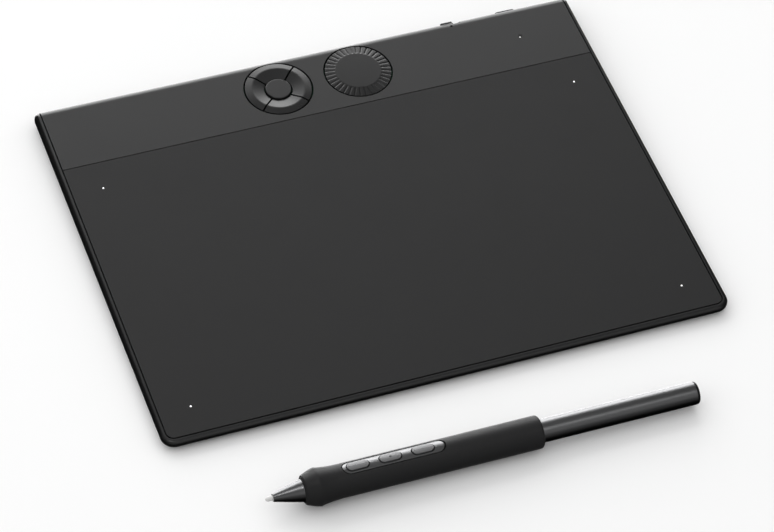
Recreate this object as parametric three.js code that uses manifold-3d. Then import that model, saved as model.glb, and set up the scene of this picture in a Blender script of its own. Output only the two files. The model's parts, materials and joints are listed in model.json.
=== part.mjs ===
// A slim pen tablet and its cordless pen, in millimetres, +Z up.
// The tablet stands on four rubber feet, its control strip at the rear (+Y), and the pen lies in front of it.
// The origin is the centre of the footprint of the two together, at desk height.
import * as THREE from "three";
import { mergeVertices } from "three/addons/utils/BufferGeometryUtils.js";
import Module from "manifold-3d";

const wasm = await Module();
wasm.setup();

// ---------------------------------------------------------------- driving dimensions

// Tablet body: a wedge, thin at the front, whose deck is one tilted plane.
const TABLET = { width: 215, depth: 163, frontThickness: 4, rearThickness: 7 };
const FOOT_HEIGHT = 0.6;
const CORNER = { front: 5, rear: 1.8 }; // plan radii
const EDGE_ROUND = { side: 1.6, rear: 3.9 }; // how far the top rounding reaches in from each edge
const EDGE_DROP = { front: 1.1, rear: 3.5 }; // how far down that rounding runs
const BELLY = { inset: 3.4, rise: 2.4 }; // rounding under the edge

// Clearances
const FIT = 0.3; // between pieces that rest on or beside each other
const CLOSE_FIT = 0.1; // between small pieces soldered or pressed together
const GROOVE = 0.5; // the black line round the deck plates

// Deck plates
const RIM_INSET = 1.75; // the body's rim, from its outer edge to the groove
const SEAM_Y = 49.85; // between the drawing surface and the control strip
const SURFACE_THICKNESS = 0.8;
const STRIP_THICKNESS = 1.2;
const STRIP_WALL_FOOT = -5.6; // lower edge of the strip's rear wall
const ACTIVE = { width: 187, depth: 105, centreY: -15 };
const MARKER_RADIUS = 0.4; // the lights at its corners

// Controls on the strip
const CONTROL = { y: 66, ringX: -16, dialX: 16, holeRadius: 13.3 };
const RING = { outer: 12.9, inner: 5.4, ridge: 10, ridgeHeight: 0.45, dish: -0.5, foot: -1.9, split: 0.4 };
const RING_TAB = { from: 12.2, to: 14, halfWidth: 1.2, top: -1.5, turn: 0.66 }; // catches under the strip
const CENTRE_KEY = { radius: 4.9, top: 0.05, foot: -1.9 };
const KEY_TRAVEL = 0.4;
const PLUNGER = { foot: -2.6, radius: 1.3, centreRadius: 1.6, reach: 9 };
const KEY_SWITCH_RADIUS = 2;
const DIAL = { outer: 12.85, flat: 8.7, top: 0.5, rim: -0.05, foot: -1.4, ridges: 36, grooveDepth: 0.34 };
const SPINDLE_RADIUS = 3;
const ENCODER = { radius: 6.8, top: -2.2 };
const STATUS_LIGHT = { x: 82.3, y: 65.3, radius: 0.45, hole: 0.75 };

// Rear edge
const PORT = { x: 81.9, z: -3.1, width: 8.94, height: 3.26, wall: 0.3, length: 7.2, setBack: 0.2 };
const PORT_TONGUE = { halfWidth: 3.35, halfHeight: 0.35, setBack: 0.9 };
const POWER = { slotLeft: 55, slotRight: 63.4, z: -2.5, height: 2.2, knobWidth: 4.9 };
const POWER_PAD = { z: -1.55, height: 2, front: 79.1, back: 80.3 }; // the knob's flush part in its outer slot
const POWER_LEDGE = { z: -1.97, height: 1.16 }; // the part of the knob that stands out
const STRIP_WALL = { inside: 80, heel: 78.6, heelTop: -2.6 }; // its rear wall, seen from inside

// Inside: layers measured down from the deck
const SENSOR_BOARD = { top: -1.5, thickness: 0.6 };
const SHIELD = { top: -2.45, thickness: 0.3 };
const POCKET_FLOOR = { front: -3, rear: -5.6 };
const POCKET = { halfWidth: 103.2, front: -77, corner: 4 };
const RIB = { front: SEAM_Y - 1.25, rear: SEAM_Y + 1.75, notchFloor: -2.7 }; // wall between the two pockets
const BOARD = { top: -3.9, thickness: 0.8 };
const KEY_BOARD = { x: [-31, 31], y: [52.6, 78.4] };
const MAIN_BOARD = { x: [37.5, 97.5], y: [53, 78.2], portNotch: 4.8 };
const SWITCH_BODY = { front: 75.2, rear: 78.2, top: -1.5 }; // the power knob slides in its track
const RADIO_CAN = { x: [41, 55], y: [60, 72], top: -2.4 };
const BATTERY = { x: [-97.5, -37], y: [53, 78], foot: -5.3, top: -2 };
const RIBBON = { x: [40, 52], thickness: 0.2, start: 48.2, crest: 52.9, foot: 54.6, end: 57.5 };
const SENSOR_OUTLINE = { halfWidth: 102.6, front: -76.4, rear: 47.9, corner: 4 };
const SCREW = { head: 1.5, shank: 0.7, tip: -2.9, xs: [-100.8, -33.5, 33.5, 100.8], y: 65 };
const SCREW_BOSS = { radius: 2, recess: 0.75, socket: 0.7 };
const FOOT = { length: 26, width: 8, x: 84, frontY: -66, rearY: 68, sunk: 0.3 };

// Pen, measured from the tip of its nib along its axis
const PEN = { length: 160.8, radius: 4.2, tipX: -82.3, inFront: 33.8, roll: -7 };
const NIB = { radius: 0.98, stem: 0.7, shoulder: 4.1, end: 16 };
const CONE = { mouth: 2.7, mouthRadius: 1.4, mouthBore: 1.2, base: 12.9, baseRadius: 3.95, step: 13.5 };
const CONE_SLEEVE = { radius: 3.3, bore: 2.75, rear: 17 }; // the cone's tail, inside the core
const GRIP = { front: 13, flare: 18.5, flareRadius: 6.8, blend: 27.5, radius: 5.98, rear: 101, round: 1 };
const GRIP_NOSE = [[0.1, 4.3], [0.6, 5.15], [2.3, 5.8], [4, 6.4]]; // distance behind its front, and radius
const GRIP_BORE = { lip: 4.15, lipEnd: 14.5, rest: 4.5 };
const PLATE = { start: 27.95, end: 65, halfWidth: 2.55, gap: 0.3, radius: 5.85, foot: 4.5 };
const BUTTON = { xs: [33.4, 45.3, 57.2], length: 7.8, width: 3.3, radius: 6.15, foot: 4.75, gap: 0.4 };
const BUTTON_STEM = { radius: 0.7, foot: 1.9, hole: 1.1 };
const SIDE_SWITCH = { halfLength: 1.5, halfWidth: 1.1, foot: 0.5, top: 1.4 };
const CORE = { front: 14.8, rear: 95.7, bore: 3.55 };
const BARREL_BORE = 3.5;
const CAP = { length: 0.8, plug: 3, plugRadius: 3.2 };
const PEN_BOARD = { start: 24, end: 90, halfWidth: 2.8, halfThickness: 0.4 };
const FERRITE = { start: 6.6, end: 14, bore: 0.95, radius: 1.5 };
const COIL = { start: 10, end: 13.6, bore: 1.6, radius: 2.1 };
const PRESSURE_SENSOR = { start: 16.6, end: 21, radius: 2.4 };
const WEIGHT = { start: 132, end: 150, radius: 3.2 };

const SIDES = { large: 48, medium: 32, small: 20, tiny: 12 }; // facets round a turned piece

// ---------------------------------------------------------------- solids from three.js geometry

function solidOf(geometry) {
  const bare = new THREE.BufferGeometry();
  bare.setAttribute("position", geometry.getAttribute("position"));
  if (geometry.index) bare.setIndex(geometry.index);
  const merged = mergeVertices(bare, 1e-4);
  const corners = merged.index.array;
  const kept = [];
  for (let i = 0; i < corners.length; i += 3) {
    const [a, b, c] = corners.slice(i, i + 3);
    if (a !== b && b !== c && c !== a) kept.push(a, b, c);
  }
  const mesh = new wasm.Mesh({
    numProp: 3,
    vertProperties: merged.attributes.position.array,
    triVerts: new Uint32Array(kept),
  });
  return new wasm.Manifold(mesh);
}

function geometryOf(solid) {
  const mesh = solid.getMesh();
  const geometry = new THREE.BufferGeometry();
  geometry.setAttribute("position", new THREE.BufferAttribute(mesh.vertProperties, 3));
  geometry.setIndex(new THREE.BufferAttribute(mesh.triVerts, 1));
  geometry.computeVertexNormals();
  return geometry;
}

function joined(...geometries) {
  const solids = geometries.map(solidOf);
  return geometryOf(solids.reduce((whole, next) => whole.add(next)));
}

function cut(geometry, ...cutters) {
  const whole = solidOf(geometry);
  return geometryOf(cutters.reduce((left, cutter) => left.subtract(solidOf(cutter)), whole));
}

function common(a, b) {
  return geometryOf(solidOf(a).intersect(solidOf(b)));
}

// ---------------------------------------------------------------- shapes

function box(x0, x1, y0, y1, z0, z1) {
  const geometry = new THREE.BoxGeometry(x1 - x0, y1 - y0, z1 - z0);
  return geometry.translate((x0 + x1) / 2, (y0 + y1) / 2, (z0 + z1) / 2);
}

// An upright cylinder
function post(x, y, radius, z0, z1, steps = SIDES.tiny) {
  const geometry = new THREE.CylinderGeometry(radius, radius, z1 - z0, steps);
  return geometry.rotateX(Math.PI / 2).translate(x, y, (z0 + z1) / 2);
}

// A long slot with round ends, along X, centred on the origin
function slotShape(length, width) {
  const r = width / 2;
  const reach = length / 2 - r;
  const shape = new THREE.Shape();
  shape.absarc(reach, 0, r, -Math.PI / 2, Math.PI / 2);
  shape.absarc(-reach, 0, r, Math.PI / 2, (3 * Math.PI) / 2);
  return shape;
}

function extruded(shape, z0, z1, curveSegments = 6) {
  const geometry = new THREE.ExtrudeGeometry(shape, { depth: z1 - z0, bevelEnabled: false, curveSegments });
  return geometry.translate(0, 0, z0);
}

// A slot-shaped bar that points along Y, for the rear edge's openings
function rearSlot(x, z, length, height, y0, y1) {
  return extruded(slotShape(length, height), -y1, -y0).rotateX(Math.PI / 2).translate(x, 0, z);
}

// A turned piece on the Z axis. Profile points are [radius, height], with the outside on the right going up.
function turned(profile, steps) {
  const points = profile.map(([radius, height]) => new THREE.Vector2(radius, height));
  return new THREE.LatheGeometry(points, steps).rotateX(Math.PI / 2);
}

// A turned piece on the X axis. Profile points are [distance, radius], with the outside running to +X.
function turnedAlongX(profile, steps) {
  return turned(profile.map(([x, r]) => [r, x]), steps).rotateY(Math.PI / 2);
}

// A closed skin over rings of points that all have the same count and run anticlockwise, lowest ring first
function loft(rings) {
  const count = rings[0].length;
  const positions = rings.flat().flatMap((p) => p.toArray());
  const faces = [];
  for (let level = 0; level + 1 < rings.length; level++) {
    for (let i = 0; i < count; i++) {
      const a = level * count + i;
      const b = level * count + ((i + 1) % count);
      faces.push(a, b, b + count, a, b + count, a + count);
    }
  }
  for (const level of [0, rings.length - 1]) {
    const centre = rings[level].reduce((sum, p) => sum.add(p), new THREE.Vector3()).divideScalar(count);
    const hub = positions.length / 3;
    positions.push(...centre.toArray());
    for (let i = 0; i < count; i++) {
      const a = level * count + i;
      const b = level * count + ((i + 1) % count);
      faces.push(...(level ? [a, b, hub] : [b, a, hub]));
    }
  }
  const geometry = new THREE.BufferGeometry();
  geometry.setAttribute("position", new THREE.Float32BufferAttribute(positions, 3));
  return geometry.setIndex(faces);
}

// ---------------------------------------------------------------- frames

const HALF_WIDTH = TABLET.width / 2;
const HALF_DEPTH = TABLET.depth / 2;
const TILT = Math.atan((TABLET.rearThickness - TABLET.frontThickness) / TABLET.depth);
const MID_THICKNESS = (TABLET.frontThickness + TABLET.rearThickness) / 2;
const KNOB_REACH = 0.1; // how far the power knob stands out of the rear edge

// The pen's axis tips down towards the rear, because it rests on the flare and on the grip's rear edge.
const GRIP_REST = GRIP.rear - GRIP.round; // where the grip's rear edge starts to round off
const PEN_PITCH = Math.asin((GRIP.flareRadius - GRIP.radius) / (GRIP_REST - GRIP.flare));
const penTipHeight = GRIP.flareRadius * Math.cos(PEN_PITCH) + GRIP.flare * Math.sin(PEN_PITCH);

// The footprint runs from the pen's near side to the power knob; its middle is the origin.
const penY = -HALF_DEPTH - PEN.inFront;
const nearSide = penY - GRIP.flareRadius;
const farSide = HALF_DEPTH + KNOB_REACH;
const TABLET_Y = -(nearSide + farSide) / 2;

const deck = new THREE.Group(); // origin at the middle of the deck plane, which tilts up to the rear
deck.position.set(0, TABLET_Y, FOOT_HEIGHT + MID_THICKNESS);
deck.rotation.x = TILT;
deck.updateMatrixWorld();
const worldToDeck = deck.matrixWorld.clone().invert();

const desk = new THREE.Group(); // level, under the tablet's middle
desk.position.set(0, TABLET_Y, 0);

const pen = new THREE.Group(); // origin at the tip, +X along the axis, +Z out through the buttons
pen.position.set(PEN.tipX, penY + TABLET_Y, penTipHeight);
pen.rotation.set(THREE.MathUtils.degToRad(PEN.roll), PEN_PITCH, 0, "ZYX");

const undersideAt = (y) => -MID_THICKNESS / Math.cos(TILT) - y * Math.tan(TILT);

// ---------------------------------------------------------------- materials

function finish(color, roughness, metalness = 0) {
  return new THREE.MeshStandardMaterial({ color, roughness, metalness });
}

const bodyBlack = finish(0x1c1c1e, 0.45);
const stripGrey = finish(0x3d3d3f, 0.55);
const surfaceGrey = finish(0x333335, 0.7);
const keyGrey = finish(0x3a3a3c, 0.4);
const gripRubber = finish(0x1d1d1f, 0.8);
const barrelMetal = finish(0x55565a, 0.35, 0.8);
const buttonGrey = finish(0x6b6b6e, 0.5);
const nibWhite = finish(0xe9e9e6, 0.5);
const lightWhite = finish(0xffffff, 0.3);
const footRubber = finish(0x232325, 0.9);
const circuitGreen = finish(0x1f4d33, 0.6);
const steel = finish(0xa9abad, 0.35, 0.9);
const batteryFoil = finish(0xb9bbbe, 0.4, 0.7);
const switchPlastic = finish(0x2b2b2d, 0.6);
const ribbonFilm = finish(0xc58b3a, 0.5);
const ferriteBlack = finish(0x303033, 0.8);
const copper = finish(0xb87333, 0.4, 0.8);
const brass = finish(0xb59a55, 0.35, 0.9);

function place(group, name, geometry, material) {
  const mesh = new THREE.Mesh(geometry, material);
  mesh.name = name;
  group.add(mesh);
}

// ---------------------------------------------------------------- tablet body

// One ring of the outer body: a rounded rectangle pulled in by the given insets. Its heights follow z(y).
function bodyRing(side, rear, z) {
  const steps = 7;
  const halfWidth = HALF_WIDTH - side;
  const frontRadius = Math.max(CORNER.front - side, 0.6);
  const rearRadius = Math.max(CORNER.rear - side, 0.6);
  const corners = [
    [halfWidth - frontRadius, -HALF_DEPTH + side + frontRadius, frontRadius, -Math.PI / 2],
    [halfWidth - rearRadius, HALF_DEPTH - rear - rearRadius, rearRadius, 0],
    [-halfWidth + rearRadius, HALF_DEPTH - rear - rearRadius, rearRadius, Math.PI / 2],
    [-halfWidth + frontRadius, -HALF_DEPTH + side + frontRadius, frontRadius, Math.PI],
  ];
  const ring = [];
  for (const [cx, cy, radius, start] of corners) {
    for (let i = 0; i <= steps; i++) {
      const angle = start + ((Math.PI / 2) * i) / steps;
      const y = cy + radius * Math.sin(angle);
      ring.push(new THREE.Vector3(cx + radius * Math.cos(angle), y, z(y)));
    }
  }
  return ring;
}

// How far the top rounding runs down, which grows from the front to the rear
function edgeDrop(y) {
  return EDGE_DROP.front + ((EDGE_DROP.rear - EDGE_DROP.front) * (y + HALF_DEPTH)) / TABLET.depth;
}

function outerBody() {
  const rings = [];
  for (const degrees of [90, 65, 40, 20, 0]) {
    const a = THREE.MathUtils.degToRad(degrees);
    const inset = BELLY.inset * (1 - Math.cos(a));
    rings.push(bodyRing(inset, inset, (y) => undersideAt(y) + BELLY.rise * (1 - Math.sin(a))));
  }
  for (const degrees of [90, 67, 45, 22, 0]) {
    const a = THREE.MathUtils.degToRad(degrees);
    const share = 1 - Math.sin(a);
    const height = (y) => -edgeDrop(y) * (1 - Math.cos(a));
    rings.push(bodyRing(EDGE_ROUND.side * share, EDGE_ROUND.rear * share, height));
  }
  return loft(rings);
}

const PLATE_HALF_WIDTH = HALF_WIDTH - RIM_INSET - GROOVE;
const WELL_HALF_WIDTH = HALF_WIDTH - RIM_INSET;
const SURFACE_FRONT = -HALF_DEPTH + RIM_INSET + GROOVE + 0.2;
const SURFACE_REAR = SEAM_Y - GROOVE / 2;
const STRIP_FRONT = SEAM_Y + GROOVE / 2;
const ABOVE = 3; // where cutters that open upwards end
const BELOW = -9; // those that open downwards
const BEYOND = HALF_DEPTH + 10; // and those that open to the rear

function roundFrontedShape(halfWidth, frontY, rearY, radius) {
  const shape = new THREE.Shape();
  shape.moveTo(halfWidth, rearY);
  shape.lineTo(-halfWidth, rearY);
  shape.absarc(-halfWidth + radius, frontY + radius, radius, Math.PI, 1.5 * Math.PI);
  shape.absarc(halfWidth - radius, frontY + radius, radius, 1.5 * Math.PI, 2 * Math.PI);
  return shape;
}

function footShape(grow) {
  return slotShape(FOOT.length + 2 * grow, FOOT.width + 2 * grow);
}

const footPlaces = [-FOOT.x, FOOT.x].flatMap((x) => [[x, FOOT.frontY], [x, FOOT.rearY]]);

function bodyTray() {
  const wellCorner = CORNER.front - RIM_INSET;
  const surfaceWell = roundFrontedShape(WELL_HALF_WIDTH, SURFACE_FRONT - GROOVE, SEAM_Y, wellCorner);
  const sensorPocket = roundFrontedShape(POCKET.halfWidth, POCKET.front, RIB.front, POCKET.corner);
  const wellRear = STRIP_WALL.heel - FIT;
  const screwFloor = undersideAt(SCREW.y) + SCREW_BOSS.recess;
  const cutters = [
    extruded(surfaceWell, -SURFACE_THICKNESS - FIT, ABOVE),
    extruded(sensorPocket, POCKET_FLOOR.front, ABOVE),
    box(-WELL_HALF_WIDTH, WELL_HALF_WIDTH, SEAM_Y - 1, BEYOND, -STRIP_THICKNESS - FIT, ABOVE),
    box(-WELL_HALF_WIDTH, WELL_HALF_WIDTH, wellRear, BEYOND, STRIP_WALL_FOOT - FIT, ABOVE),
    box(-POCKET.halfWidth, POCKET.halfWidth, RIB.rear, wellRear + 1, POCKET_FLOOR.rear, ABOVE),
    box(RIBBON.x[0] - 1, RIBBON.x[1] + 1, RIB.front - 1, RIB.rear + 1, RIB.notchFloor, ABOVE),
    ...SCREW.xs.map((x) => post(x, SCREW.y, SCREW.shank + FIT, BELOW, BOARD.top)),
    ...SCREW.xs.map((x) => post(x, SCREW.y, SCREW.head + FIT, BELOW, screwFloor)),
    ...footPlaces.map(([x, y]) =>
      extruded(footShape(CLOSE_FIT), 0, FOOT_HEIGHT + FOOT.sunk + CLOSE_FIT)
        .translate(x, y + TABLET_Y, 0)
        .applyMatrix4(worldToDeck),
    ),
  ];
  return cut(outerBody(), ...cutters);
}

// The corners of the active area
const markerPlaces = [-ACTIVE.width / 2, ACTIVE.width / 2].flatMap((x) => [
  [x, ACTIVE.centreY - ACTIVE.depth / 2],
  [x, ACTIVE.centreY + ACTIVE.depth / 2],
]);

function drawingSurface() {
  const corner = CORNER.front - RIM_INSET - GROOVE;
  const shape = roundFrontedShape(PLATE_HALF_WIDTH, SURFACE_FRONT, SURFACE_REAR, corner);
  for (const [x, y] of markerPlaces) {
    const hole = new THREE.Path();
    hole.absarc(x, y, MARKER_RADIUS + CLOSE_FIT, 0, 2 * Math.PI, true);
    shape.holes.push(hole);
  }
  return extruded(shape, -SURFACE_THICKNESS, 0, 7);
}

// The pen's sensor and the steel sheet behind it share an outline and lie under the drawing surface.
function sensorLayer({ top, thickness }) {
  const { halfWidth, front, rear, corner } = SENSOR_OUTLINE;
  return extruded(roundFrontedShape(halfWidth, front, rear, corner), top - thickness, top);
}

// ---------------------------------------------------------------- control strip

const powerSlotX = (POWER.slotLeft + POWER.slotRight) / 2;
const powerSlotLength = POWER.slotRight - POWER.slotLeft;
const bossPlaces = SCREW.xs.map((x) => [x, SCREW.y]);

function controlStrip() {
  const blank = box(-PLATE_HALF_WIDTH, PLATE_HALF_WIDTH, STRIP_FRONT, BEYOND, STRIP_WALL_FOOT, ABOVE);
  const skin = common(outerBody(), blank);
  const { inside, heel, heelTop } = STRIP_WALL;
  const hollowed = cut(
    skin,
    box(-TABLET.width, TABLET.width, 0, heel, BELOW, -STRIP_THICKNESS),
    box(-TABLET.width, TABLET.width, 0, inside, BELOW, heelTop),
  );
  const bossTop = -STRIP_THICKNESS + 0.4;
  const bosses = bossPlaces.map(([x, y]) => post(x, y, SCREW_BOSS.radius, POCKET_FLOOR.rear + FIT, bossTop));
  const behind = MAIN_BOARD.y[0]; // the openings in the rear wall start well inside it
  const cutters = [
    post(CONTROL.ringX, CONTROL.y, CONTROL.holeRadius, BELOW, ABOVE, SIDES.large),
    post(CONTROL.dialX, CONTROL.y, CONTROL.holeRadius, BELOW, ABOVE, SIDES.large),
    post(STATUS_LIGHT.x, STATUS_LIGHT.y, STATUS_LIGHT.hole, BELOW, ABOVE),
    rearSlot(PORT.x, PORT.z, PORT.width + FIT, PORT.height + FIT, behind, BEYOND),
    rearSlot(powerSlotX, POWER.z, powerSlotLength, POWER.height + 0.4, behind, POWER_PAD.back),
    rearSlot(powerSlotX, POWER_PAD.z, powerSlotLength, POWER_PAD.height + 0.4, POWER_PAD.front - FIT, BEYOND),
    ...bossPlaces.map(([x, y]) => post(x, y, SCREW.shank + 0.25, BELOW, SCREW.tip + FIT)),
  ];
  return cut(joined(hollowed, ...bosses), ...cutters);
}

// ---------------------------------------------------------------- ring keys

function ringKey(turn) {
  const crown = [
    [RING.inner, RING.foot],
    [RING.outer, RING.foot],
    [RING.outer, -0.12],
    [RING.outer - 0.15, 0],
    [RING.ridge + 0.35, RING.ridgeHeight - 0.04],
    [RING.ridge, RING.ridgeHeight],
    [RING.ridge - 0.35, RING.ridgeHeight - 0.06],
    [RING.inner + 0.2, RING.dish],
    [RING.inner, RING.dish - 0.12],
    [RING.inner, RING.foot],
  ];
  const reach = RING.outer * 1.5;
  const apex = (RING.split / 2) * Math.SQRT2;
  const quarter = new THREE.Shape();
  quarter.moveTo(0, apex);
  quarter.lineTo(reach, reach + apex);
  quarter.lineTo(-reach, reach + apex);
  const cap = common(turned(crown, SIDES.large), extruded(quarter, BELOW, ABOVE));
  const { from, to, halfWidth, top } = RING_TAB;
  const tabs = [-RING_TAB.turn, RING_TAB.turn].map((angle) =>
    box(-halfWidth, halfWidth, from, to, RING.foot - CLOSE_FIT, top).rotateZ(angle),
  );
  const plunger = post(0, PLUNGER.reach, PLUNGER.radius, PLUNGER.foot, RING.foot + FIT);
  return joined(cap, ...tabs, plunger).rotateZ(turn).translate(CONTROL.ringX, CONTROL.y, 0);
}

function centreKey() {
  const { radius, top, foot } = CENTRE_KEY;
  const profile = [
    [0, PLUNGER.foot],
    [PLUNGER.centreRadius, PLUNGER.foot],
    [PLUNGER.centreRadius, foot],
    [radius, foot],
    [radius, top - 0.25],
    [radius - 0.07, top - 0.1],
    [radius - 0.25, top - 0.02],
    [radius / 2, top + 0.03],
    [0, top + 0.04],
  ];
  return turned(profile, SIDES.medium).translate(CONTROL.ringX, CONTROL.y, 0);
}

// ---------------------------------------------------------------- dial

// The bevel is a zigzag of ridges that run out from the flat top; the flat stays round.
function dialCap() {
  const steps = 2 * DIAL.ridges;
  const ring = (radius, crest, valley) =>
    Array.from({ length: steps }, (_, i) => {
      const angle = (2 * Math.PI * i) / steps;
      return new THREE.Vector3(radius * Math.cos(angle), radius * Math.sin(angle), i % 2 ? valley : crest);
    });
  const slope = (DIAL.top - DIAL.rim) / (DIAL.outer - DIAL.flat);
  const endOfValley = DIAL.flat + 0.35;
  const crestAtEnd = DIAL.top - slope * (endOfValley - DIAL.flat);
  const rings = [
    ring(DIAL.outer - 0.3, DIAL.foot, DIAL.foot),
    ring(DIAL.outer, DIAL.foot + 0.3, DIAL.foot + 0.3),
    ring(DIAL.outer, DIAL.rim, DIAL.rim - DIAL.grooveDepth),
    ring(endOfValley, crestAtEnd, crestAtEnd - DIAL.grooveDepth),
    ring(DIAL.flat, DIAL.top, DIAL.top),
  ];
  return loft(rings).translate(CONTROL.dialX, CONTROL.y, 0);
}

function dialSpindle() {
  return post(CONTROL.dialX, CONTROL.y, SPINDLE_RADIUS, BOARD.top + 0.15, DIAL.foot - 0.15, SIDES.small);
}

function encoderBase() {
  const bore = SPINDLE_RADIUS + FIT;
  const foot = BOARD.top + CLOSE_FIT;
  const { radius, top } = ENCODER;
  const section = [[bore, foot], [radius, foot], [radius, top], [bore, top], [bore, foot]];
  return turned(section, SIDES.small).translate(CONTROL.dialX, CONTROL.y, 0);
}

// ---------------------------------------------------------------- parts behind the rear edge

const portFront = HALF_DEPTH - PORT.setBack - PORT.length;

function usbPort() {
  const { x, z, width, height, wall } = PORT;
  const [front, rear] = [portFront, HALF_DEPTH - PORT.setBack];
  const shell = rearSlot(x, z, width, height, front, rear);
  const mouth = rearSlot(x, z, width - 2 * wall, height - 2 * wall, front + 0.8, rear + 1);
  const { halfWidth, halfHeight, setBack } = PORT_TONGUE;
  const tongueRear = rear - setBack;
  const tongue = box(x - halfWidth, x + halfWidth, front + 0.4, tongueRear, z - halfHeight, z + halfHeight);
  return joined(cut(shell, mouth), tongue);
}

function powerKnob() {
  const { slotLeft, knobWidth, z } = POWER;
  const { front } = POWER_PAD;
  const x = slotLeft + FIT + knobWidth / 2;
  const stem = box(x - 1, x + 1, SWITCH_BODY.rear - FIT, front + 0.5, z - 0.4, z + 0.4);
  const pad = common(outerBody(), rearSlot(x, POWER_PAD.z, knobWidth, POWER_PAD.height, front, BEYOND));
  const [ledgeFront, ledgeRear] = [front + 1, HALF_DEPTH + KNOB_REACH];
  const ledge = rearSlot(x, POWER_LEDGE.z, knobWidth, POWER_LEDGE.height, ledgeFront, ledgeRear);
  return joined(stem, pad, ledge);
}

function powerSwitchBody() {
  const left = POWER.slotLeft + 0.4;
  const right = POWER.slotRight - 0.4;
  const { front, rear, top } = SWITCH_BODY;
  const track = box(left + 0.3, right - 0.3, rear - 1.2, rear + 1, POWER.z - 0.6, POWER.z + 0.6);
  return cut(box(left, right, front, rear, BOARD.top + CLOSE_FIT, top), track);
}

// A board that lies on the same level as the others under the strip
function stripBoard({ x, y }) {
  return box(...x, ...y, BOARD.top - BOARD.thickness, BOARD.top);
}

function mainBoard() {
  const { portNotch } = MAIN_BOARD;
  const notch = box(PORT.x - portNotch, PORT.x + portNotch, portFront - FIT, BEYOND, BELOW, 0);
  return cut(stripBoard(MAIN_BOARD), notch);
}

// A flat cable from the rear edge of the sensor board, over the rib, down onto the main board
function sensorRibbon() {
  const { x, thickness, start, crest, foot, end } = RIBBON;
  const [high, low] = [SENSOR_BOARD.top - thickness, BOARD.top + CLOSE_FIT + thickness];
  const shape = new THREE.Shape();
  shape.moveTo(start, high);
  shape.lineTo(crest, high);
  shape.lineTo(foot, low);
  shape.lineTo(end, low);
  shape.lineTo(end, low - thickness);
  shape.lineTo(foot - thickness, low - thickness);
  shape.lineTo(crest - thickness, high - thickness);
  shape.lineTo(start, high - thickness);
  return extruded(shape, ...x).rotateX(Math.PI / 2).rotateZ(Math.PI / 2);
}

function coverScrew(x) {
  const headFoot = undersideAt(SCREW.y) + 0.1;
  const headTop = headFoot + 0.5;
  const profile = [
    [0, headFoot],
    [SCREW.head, headFoot],
    [SCREW.head, headTop],
    [SCREW.shank, headTop],
    [SCREW.shank, SCREW.tip - 0.4],
    [0.3, SCREW.tip],
    [0, SCREW.tip],
  ];
  const socket = post(0, 0, SCREW_BOSS.socket, headFoot - 0.3, headFoot + 0.3, 6);
  return cut(turned(profile, SIDES.tiny), socket).translate(x, SCREW.y, 0);
}

// ---------------------------------------------------------------- pen

// A tube and a solid rod on the pen's axis
function sleeve({ start, end, bore, radius }, steps = SIDES.small) {
  return turnedAlongX([[start, bore], [start, radius], [end, radius], [end, bore], [start, bore]], steps);
}

function plug({ start, end, radius }) {
  return turnedAlongX([[start, 0], [start, radius], [end, radius], [end, 0]], SIDES.small);
}

// A prism with round ends along the pen, standing between two heights
function penSlot(x0, x1, halfWidth, z0, z1) {
  return extruded(slotShape(x1 - x0, 2 * halfWidth), z0, z1).translate((x0 + x1) / 2, 0, 0);
}

function gripSleeve() {
  const nose = GRIP_NOSE.map(([behind, radius]) => [GRIP.front + behind, radius]);
  const flareCurve = Array.from({ length: 5 }, (_, i) => {
    const left = 1 - i / 4;
    const x = GRIP.blend - (GRIP.blend - GRIP.flare) * left;
    return [x, GRIP.radius + (GRIP.flareRadius - GRIP.radius) * left * left];
  });
  const profile = [
    [GRIP.front, GRIP_BORE.lip],
    ...nose,
    ...flareCurve,
    [GRIP_REST, GRIP.radius],
    [GRIP.rear, GRIP.radius - GRIP.round],
    [GRIP.rear, GRIP_BORE.rest],
    [GRIP_BORE.lipEnd, GRIP_BORE.rest],
    [GRIP_BORE.lipEnd, GRIP_BORE.lip],
    [GRIP.front, GRIP_BORE.lip],
  ];
  const halfWidth = PLATE.halfWidth + PLATE.gap;
  const opening = penSlot(PLATE.start - PLATE.gap, PLATE.end + PLATE.gap, halfWidth, 1, 9);
  return cut(turnedAlongX(profile, SIDES.large), opening);
}

function noseCone() {
  const { mouth, mouthRadius, mouthBore, base, baseRadius, step } = CONE;
  const { radius, bore, rear } = CONE_SLEEVE;
  const profile = [
    [mouth, mouthBore],
    [mouth, mouthRadius],
    [base, baseRadius],
    [step, baseRadius],
    [step, radius],
    [rear, radius],
    [rear, bore],
    [COIL.end - 1.6, bore],
    [FERRITE.start - 1.1, FERRITE.radius - 0.1],
    [FERRITE.start - 1.6, mouthBore],
    [mouth, mouthBore],
  ];
  return turnedAlongX(profile, SIDES.medium);
}

function nib() {
  const { radius, stem, shoulder, end } = NIB;
  const profile = [
    [0, 0],
    [0.07, 0.35],
    [0.3, 0.62],
    [0.7, 0.8],
    [shoulder - 0.7, radius],
    [shoulder, radius],
    [shoulder + 0.2, stem],
    [end - 0.3, stem],
    [end, stem - 0.3],
    [end, 0],
  ];
  return turnedAlongX(profile, SIDES.small);
}

function penCore() {
  const { front, rear, bore } = CORE;
  const tube = sleeve({ start: front, end: rear, bore, radius: PEN.radius }, SIDES.medium);
  return cut(tube, ...BUTTON.xs.map((x) => post(x, 0, BUTTON_STEM.hole, 2, PEN.radius + 1)));
}

function rearBarrel() {
  const [front, rear] = [CORE.rear + FIT, PEN.length - CAP.length - CLOSE_FIT];
  const profile = [
    [front, BARREL_BORE],
    [front, PEN.radius - 0.2],
    [front + 0.2, PEN.radius],
    [rear - 0.15, PEN.radius],
    [rear, PEN.radius - 0.12],
    [rear, BARREL_BORE],
    [front, BARREL_BORE],
  ];
  return turnedAlongX(profile, SIDES.medium);
}

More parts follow.
